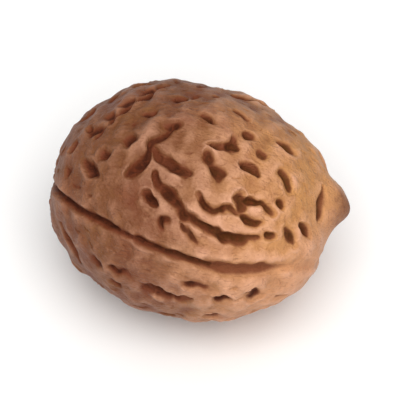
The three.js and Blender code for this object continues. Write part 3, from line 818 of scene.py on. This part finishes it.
def surface_heights(points, settings):
    """How far the surface is raised and sunk at each point, in millimetres, and how dark its furrows are, as
    stain and painted shade.
    """
    relief = Relief()
    depth, rim, furrow_stain_and_shade, rise = relief.measure(points)
    rim_height = settings.rim_height / MM
    raised = rise + rim_height * rim * np.exp(-depth / rim_height)
    raised += settings.wave_height / MM * wave_sum(relief.waves, points)
    raised += LUMPS["height"] * wave_sum(relief.lumps, points)
    for place, height, reach in SWELLS:
        raised += height * bell(np.linalg.norm(points - body_points(direction(*place)), axis=1), reach)
    return raised, depth, furrow_stain_and_shade


def model_stone(settings):
    """Shapes the body, its beak and its relief, and stores what the finish reads at each vertex."""
    stone = add_globe("pit_stone", GLOBE_RADIUS * MM, GLOBE_LEVELS)
    globe = unit(read_points(stone))
    points = body_points(np.stack((globe[:, 0], globe[:, 2], -globe[:, 1]), axis=1))
    shape_body(stone)
    draw_out_beak(stone)
    raised, depth, furrow_stain_and_shade = surface_heights(points, settings)
    plain = 1 - near_flat(points)
    displace(stone, "swells and rims", raised * plain)
    displace(stone, "furrows", -settings.furrow_depth * depth * plain)
    height = (raised - depth) * plain
    # The height above the mean near by and how raised the surface is drive the painted shade in the hollows
    # and the painted highlight on the crests
    prominence = (height - local_mean(stone, height)) / FULL_PROMINENCE
    store(stone, "furrow_stain_and_shade", furrow_stain_and_shade * plain)
    store(stone, "level", np.clip(0.5 + prominence / 2, 0, 1))
    store(stone, "swell", np.clip(0.5 + raised, 0, 1))
    cut_flat_spot(stone)
    settle_in_frame(stone)
    return stone


def linear(code):
    """A colour written as six hex digits, in the linear values that shaders use."""
    parts = [int(code[i:i + 2], 16) / 255 for i in (0, 2, 4)]
    return tuple(p / 12.92 if p <= 0.04045 else ((p + 0.055) / 1.055) ** 2.4 for p in parts)


class Shade:
    """A shader value that takes part in sums, so that maths on it reads as plain Python."""

    def __init__(self, finish, socket):
        self.finish = finish
        self.socket = socket

    def math(self, operation, *others):
        node = self.finish.add("ShaderNodeMath", {"operation": operation}, dict(enumerate((self, *others))))
        return Shade(self.finish, node.outputs[0])

    def __add__(self, other):
        return self.math("ADD", other)

    def __radd__(self, other):
        return self.math("ADD", other)

    def __mul__(self, other):
        return self.math("MULTIPLY", other)

    def __rmul__(self, other):
        return self.math("MULTIPLY", other)

    def __sub__(self, other):
        return self.math("SUBTRACT", other)

    def __rsub__(self, other):
        return (self * -1.0) + other

    def clamp(self):
        return self.math("MAXIMUM", 0.0).math("MINIMUM", 1.0)

    def step(self, low, high):
        """0 below low, 1 above high and smooth between."""
        settings = {"interpolation_type": "SMOOTHSTEP"}
        inputs = {"Value": self, "From Min": low, "From Max": high}
        return Shade(self.finish, self.finish.add("ShaderNodeMapRange", settings, inputs).outputs["Result"])


class Finish:
    """A material and the one way that its nodes are added."""

    def __init__(self, name):
        self.material = bpy.data.materials.new(name)
        self.material.use_nodes = True
        self.nodes = self.material.node_tree.nodes
        self.links = self.material.node_tree.links
        self.surface = next(node for node in self.nodes if node.type == "BSDF_PRINCIPLED")

    def add(self, kind, settings=None, inputs=None):
        node = self.nodes.new(kind)
        for key, value in (settings or {}).items():
            setattr(node, key, value)
        for key, value in (inputs or {}).items():
            self.feed(node.inputs[key], value)
        return node

    def feed(self, socket, value):
        if isinstance(value, Shade):
            self.links.new(value.socket, socket)
        elif isinstance(value, bpy.types.NodeSocket):
            self.links.new(value, socket)
        elif socket.type == "RGBA":
            socket.default_value = (*value, 1.0)
        else:
            socket.default_value = value

    def attribute(self, name):
        node = self.add("ShaderNodeAttribute", {"attribute_name": name})
        return Shade(self, node.outputs["Fac"])

    def noise(self, place, scale, detail=3.0, roughness=0.5, stretch=(1, 1, 1)):
        inputs = {"Vector": place, "Scale": stretch}
        spread = self.add("ShaderNodeMapping", {"vector_type": "POINT"}, inputs)
        inputs = {"Vector": spread.outputs[0], "Scale": scale, "Detail": detail, "Roughness": roughness}
        return Shade(self, self.add("ShaderNodeTexNoise", {}, inputs).outputs["Fac"])

    def veins(self, place, scale, width, stretch):
        """1 along fine wandering lines, broken where a coarser noise is low."""
        line = (self.noise(place, scale, detail=2.0, stretch=stretch) - 0.5).math("ABSOLUTE")
        return (1 - line.step(0.0, width)) * self.noise(place, scale * 0.9).step(0.45, 0.6)

    def blend(self, share, one, two):
        settings = {"data_type": "RGBA", "blend_type": "MIX", "clamp_factor": True}
        node = self.add("ShaderNodeMix", settings, {0: share, 6: one, 7: two})
        return node.outputs[2]

    def bump(self, height, distance):
        inputs = {"Height": height, "Distance": distance, "Strength": 1.0}
        return self.add("ShaderNodeBump", {}, inputs).outputs[0]


class ShellPatterns:
    """What the shell's colour and grain are mixed from, with places in millimetres."""

    def __init__(self, finish):
        inputs = {0: finish.add("ShaderNodeTexCoord").outputs["Object"], "Scale": 1 / MM}
        place = finish.add("ShaderNodeVectorMath", {"operation": "SCALE"}, inputs).outputs[0]
        parts = finish.add("ShaderNodeSeparateXYZ", {}, {0: place}).outputs
        self.along, self.up = (Shade(finish, parts[name]) for name in ("X", "Z"))
        names = ("furrow_stain_and_shade", "level", "swell")
        self.furrow_stain_and_shade, self.level, self.swell = (finish.attribute(name) for name in names)
        self.patches = finish.noise(place, PATCH_SCALE, detail=2.0)
        self.mottle = finish.noise(place, MOTTLE_SCALE, detail=4.0, roughness=0.6)
        self.flecks = finish.noise(place, FLECK_SCALE, detail=4.0, roughness=0.65)
        self.grain = finish.noise(place, GRAIN_SCALE, stretch=GRAIN_STRETCH)
        self.veins = finish.veins(place, VEIN_SCALE, VEIN_WIDTH, VEIN_STRETCH)


def plain_shell(finish, colours, shell, tip_tone_and_light, golden):
    """The colour away from crests and furrows: russet at the stem, tan or gold toward the tip, the paler tip
    side partly the shell's own colour and partly painted light.
    """
    uneven = (shell.mottle - 0.5) * 1.5 + (shell.flecks - 0.5) * 0.8
    base = finish.blend(shell.patches.step(0.35, 0.65), colours.brown, colours.olive)
    base = finish.blend(((1 - tip_tone_and_light) * 0.75 + uneven).clamp(), base, colours.russet)
    light = finish.blend(golden, colours.tan, colours.gold)
    return finish.blend((tip_tone_and_light * 0.9 + uneven * 0.8).clamp(), base, light)


def woody_colour(finish, colours, shell):
    """The plain shell with paler crests, partly a painted highlight, dark furrows and hollows, partly stain
    and partly painted shade, a dark beak, partly painted shade at its edge, and fine veins.
    """
    # Paler toward the tip, partly the shell's own colour and partly painted light falling from that side
    tip_tone_and_light = shell.along.step(*TIP_FADE)
    golden = tip_tone_and_light * shell.up.step(*GOLD_FADE)
    base = plain_shell(finish, colours, shell, tip_tone_and_light, golden)
    specks = shell.flecks - 0.5
    # Paler crests where the surface stands above the mean near by, partly worn shell and partly a painted
    # highlight, stronger toward the tip
    crest_wear_and_highlight = ((shell.level - 0.52) * 2.4 + specks * 0.6) * (0.3 + tip_tone_and_light * 0.7)
    base = finish.blend(crest_wear_and_highlight.clamp(), base, colours.crest)
    # Painted shade in the hollows and low places, below the mean height near by, together with the stain
    # beside the furrows
    stain_and_hollow_shade = shell.furrow_stain_and_shade * 0.9 + (0.5 - shell.level) * 1.2 + (0.5 - shell.swell) + specks * 0.4
    base = finish.blend(stain_and_hollow_shade.step(0.05, 0.75) * 0.85, base, colours.shadow)
    # Dark bottoms of the furrows, umber in the yellower part: partly their own stain and partly painted
    # shade
    bottom = finish.blend(golden, colours.furrow, colours.umber)
    bottom = finish.blend(shell.flecks.step(0.42, 0.7) * 0.7, bottom, colours.shadow)
    base = finish.blend((shell.furrow_stain_and_shade + specks * 0.4).step(0.4, 0.95), base, bottom)
    # Darker at the end of the beak, partly its own colour and partly painted shade at its edge
    beak_tone_and_edge_shade = (shell.along + (shell.mottle - 0.5) * 2.2 + specks).step(*BEAK_FADE)
    base = finish.blend(beak_tone_and_edge_shade * 0.85, base, colours.beak)
    return finish.blend(shell.veins * 0.25, base, colours.shadow)


def woody_finish(colours):
    """The dry woody shell: its colour, a dull sheen and a fine grain."""
    finish = Finish("woody shell")
    shell = ShellPatterns(finish)
    inputs = finish.surface.inputs
    finish.feed(inputs["Base Color"], woody_colour(finish, colours, shell))
    roughness = 0.5 + shell.furrow_stain_and_shade * 0.3 - (shell.level - 0.5) * 0.2 + (shell.mottle - 0.5) * 0.2
    finish.feed(inputs["Roughness"], roughness)
    inputs["Specular IOR Level"].default_value = SHELL_SPECULAR
    height = shell.mottle * 0.35 + shell.flecks * 0.35 + shell.grain * 0.3 - shell.veins * 0.07
    finish.feed(inputs["Normal"], finish.bump(height, BUMP_HEIGHT))
    return finish.material


class PitShape(bpy.types.PropertyGroup):
    """Sizes of the stone's relief."""

    furrow_depth: FloatProperty(
        name="Furrow depth", description="Share of the solid's furrow depth", default=1.0, min=0.0, max=1.5
    )
    rim_height: FloatProperty(
        name="Rim height", description="Low rims beside the furrows", default=0.15 * MM, unit="LENGTH"
    )
    wave_height: FloatProperty(
        name="Wave height", description="Slow waves of the body", default=0.055 * MM, unit="LENGTH"
    )


def colour_choice(name, description, code):
    return FloatVectorProperty(name=name, description=description, subtype="COLOR", default=linear(code))


class PitColours(bpy.types.PropertyGroup):
    """Colours of the dry woody shell."""

    brown: colour_choice("Brown", "Main colour of the shell", "8f5535")
    olive: colour_choice("Olive", "Duller patches", "905f34")
    # Russet toward the stem and tan toward the tip: darker and paler partly in the shell's own colour and
    # partly as painted light
    russet: colour_choice("Russet", "Redder, toward the stem", "68381f")
    tan: colour_choice("Tan", "Lighter, toward the tip", "cb9168")
    gold: colour_choice("Gold", "Yellower, above the tip", "c58b52")
    # The paler crests, partly worn shell and partly a painted highlight
    crest: colour_choice("Crest", "Rubbed crests of the ridges", "e3aa8a")
    # The stain beside the furrows and painted shade in the hollows, also the colour of the fine veins
    shadow: colour_choice("Shadow", "Stained beside the furrows", "6c3116")
    # The dark bottoms of the furrows, here and in the yellower part: partly stain and partly painted shade
    furrow: colour_choice("Furrow", "Bottoms of the furrows", "421804")
    umber: colour_choice("Umber", "Bottoms in the yellower part", "5e360e")
    # The dark end of the beak, partly its own colour and partly painted shade at its edge
    beak: colour_choice("Beak", "Dark end of the beak", "64341d")


class PitStage(bpy.types.PropertyGroup):
    """The floor, the light and the camera."""

    azimuth: FloatProperty(
        name="Azimuth", description="Angle round the stone", default=math.radians(13), subtype="ANGLE"
    )
    elevation: FloatProperty(
        name="Elevation", description="Angle above the floor", default=math.radians(52), subtype="ANGLE"
    )
    distance: FloatProperty(
        name="Distance", description="From the camera to the stone", default=0.6, unit="LENGTH"
    )
    view_width: FloatProperty(
        name="View width", description="Width of the picture at the stone", default=34.5 * MM, unit="LENGTH"
    )
    floor_size: FloatProperty(
        name="Floor size", description="Width of the round floor", default=1.6, unit="LENGTH"
    )
    floor_colour: colour_choice("Floor colour", "Colour of the floor", "fafafa")
    edge_steps: IntProperty(name="Edge steps", description="Corners of the round floor", default=64, min=16)


class PIT_OT_stone(bpy.types.Operator):
    """Model the peach pit and give it its woody finish"""

    bl_idname = "pit.stone"
    bl_label = "Peach Pit"

    def execute(self, context):
        stone = model_stone(context.scene.pit_shape)
        bpy.ops.object.shade_smooth()
        stone.data.materials.append(woody_finish(context.scene.pit_colours))
        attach(stone, "root")
        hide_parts(NODE)
        return {"FINISHED"}


def outward(azimuth, elevation):
    """Unit vector from the stone to a place round and above it, for angles in radians."""
    level = math.cos(elevation)
    return Vector((math.sin(azimuth) * level, -math.cos(azimuth) * level, math.sin(elevation)))


def add_light(target, name, azimuth, elevation, distance, size, power, colour):
    """A square area light that faces the target from an angle round it."""
    way = outward(math.radians(azimuth), math.radians(elevation))
    bpy.ops.object.light_add(type="AREA", location=target + way * distance)
    light = bpy.context.object
    light.name = name
    light.rotation_euler = way.to_track_quat("Z", "Y").to_euler()
    light.data.size = size
    light.data.energy = power
    light.data.color = colour
    light.visible_camera = False


def add_room_light():
    """Even light from all round."""
    world = bpy.data.worlds.new("pale room")
    world.use_nodes = True
    background = world.node_tree.nodes["Background"]
    background.inputs["Color"].default_value = (*ROOM_COLOUR, 1.0)
    background.inputs["Strength"].default_value = ROOM_STRENGTH
    bpy.context.scene.world = world
    bpy.context.scene.view_settings.view_transform = "Standard"


def add_floor(stage):
    deselect_all()
    radius = stage.floor_size / 2
    bpy.ops.mesh.primitive_circle_add(vertices=stage.edge_steps, radius=radius, fill_type="NGON")
    floor = bpy.context.object
    floor.name = "stage_floor"
    finish = Finish("pale floor")
    finish.feed(finish.surface.inputs["Base Color"], tuple(stage.floor_colour))
    finish.surface.inputs["Roughness"].default_value = FLOOR_ROUGHNESS
    floor.data.materials.append(finish.material)


def add_camera(stage, target):
    way = outward(stage.azimuth, stage.elevation)
    bpy.ops.object.camera_add(location=target + way * stage.distance)
    camera = bpy.context.object
    camera.rotation_euler = way.to_track_quat("Z", "Y").to_euler()
    camera.data.sensor_width = SENSOR_WIDTH
    camera.data.lens = SENSOR_WIDTH * stage.distance / stage.view_width
    camera.data.clip_start = NEAREST_SEEN
    bpy.context.scene.camera = camera


class PIT_OT_stage(bpy.types.Operator):
    """Set the floor, the soft light and the camera"""

    bl_idname = "pit.stage"
    bl_label = "Stage"

    def execute(self, context):
        stage = context.scene.pit_stage
        low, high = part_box(NODE)
        middle = (low + high) / 2
        add_floor(stage)
        for light in LIGHTS:
            add_light(middle, **light)
        add_room_light()
        add_camera(stage, middle)
        return {"FINISHED"}


class PIT_PT_panel(bpy.types.Panel):
    """Lists the stone, the stage and their settings"""

    bl_idname = "PIT_PT_panel"
    bl_label = "Peach Pit"
    bl_space_type = "VIEW_3D"
    bl_region_type = "UI"
    bl_category = "Peach Pit"

    def draw(self, context):
        for operator in (PIT_OT_stone, PIT_OT_stage):
            self.layout.operator(operator.bl_idname)
        for group in (context.scene.pit_shape, context.scene.pit_colours, context.scene.pit_stage):
            for name in group.__annotations__:
                self.layout.prop(group, name)


CLASSES = (PitShape, PitColours, PitStage, PIT_OT_stone, PIT_OT_stage, PIT_PT_panel)
GROUPS = {"pit_shape": PitShape, "pit_colours": PitColours, "pit_stage": PitStage}


def register():
    for item in CLASSES:
        bpy.utils.register_class(item)
    for name, group in GROUPS.items():
        setattr(bpy.types.Scene, name, PointerProperty(type=group))


def unregister():
    for name in GROUPS:
        delattr(bpy.types.Scene, name)
    for item in reversed(CLASSES):
        bpy.utils.unregister_class(item)


def main():
    register()
    bpy.ops.pit.stone()
    bpy.ops.pit.stage()


if __name__ == "__main__":
    main()
